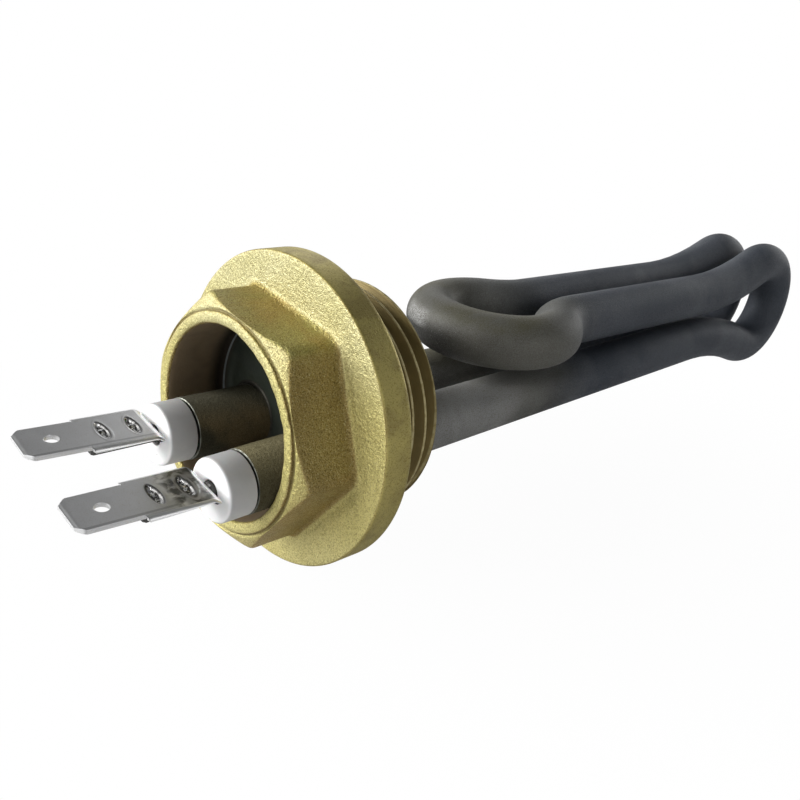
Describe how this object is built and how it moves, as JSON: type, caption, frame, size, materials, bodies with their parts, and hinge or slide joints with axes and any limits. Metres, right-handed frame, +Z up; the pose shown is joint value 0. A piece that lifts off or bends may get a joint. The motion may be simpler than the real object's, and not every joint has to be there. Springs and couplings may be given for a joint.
{
  "type": "screw plug immersion heater",
  "caption": "Brass hexagon screw plug with a tubular heating element folded back on itself, ceramic end beads and push-on tab terminals.",
  "frame": {"origin": "centre of the flange's sealing face, on the thread's axis", "axes": "+X along the thread's axis from the terminals into the tank, +Y towards the rear terminal, +Z up, from the terminal legs towards the returning legs"},
  "size_m": [0.1775, 0.0432, 0.0432],
  "materials": {
    "forged_brass": "sand-textured stamped brass, thread machined smooth and darker",
    "dark_sheath": "oxidised alloy tube, dark charcoal, matte to satin",
    "magnesia": "pressed powder, matte",
    "resistance_wire": "drawn alloy wire",
    "terminal_pin": "drawn steel",
    "sealing_resin": "cast resin, satin",
    "steatite": "unglazed white porcelain, matte",
    "nickel_plate": "dull nickel-plated steel with weld marks and heat tint"
  },
  "bodies": {
    "root": {"plug_body": "forged_brass", "heating_sheath": "dark_sheath", "magnesia_core": "magnesia", "resistance_coil": "resistance_wire", "cold_pin_front": "terminal_pin", "cold_pin_rear": "terminal_pin", "end_seal_front": "sealing_resin", "end_seal_rear": "sealing_resin", "ceramic_bead_front": "steatite", "ceramic_bead_rear": "steatite", "tab_terminal_front": "nickel_plate", "tab_terminal_rear": "nickel_plate"}
  },
  "joints": []
}
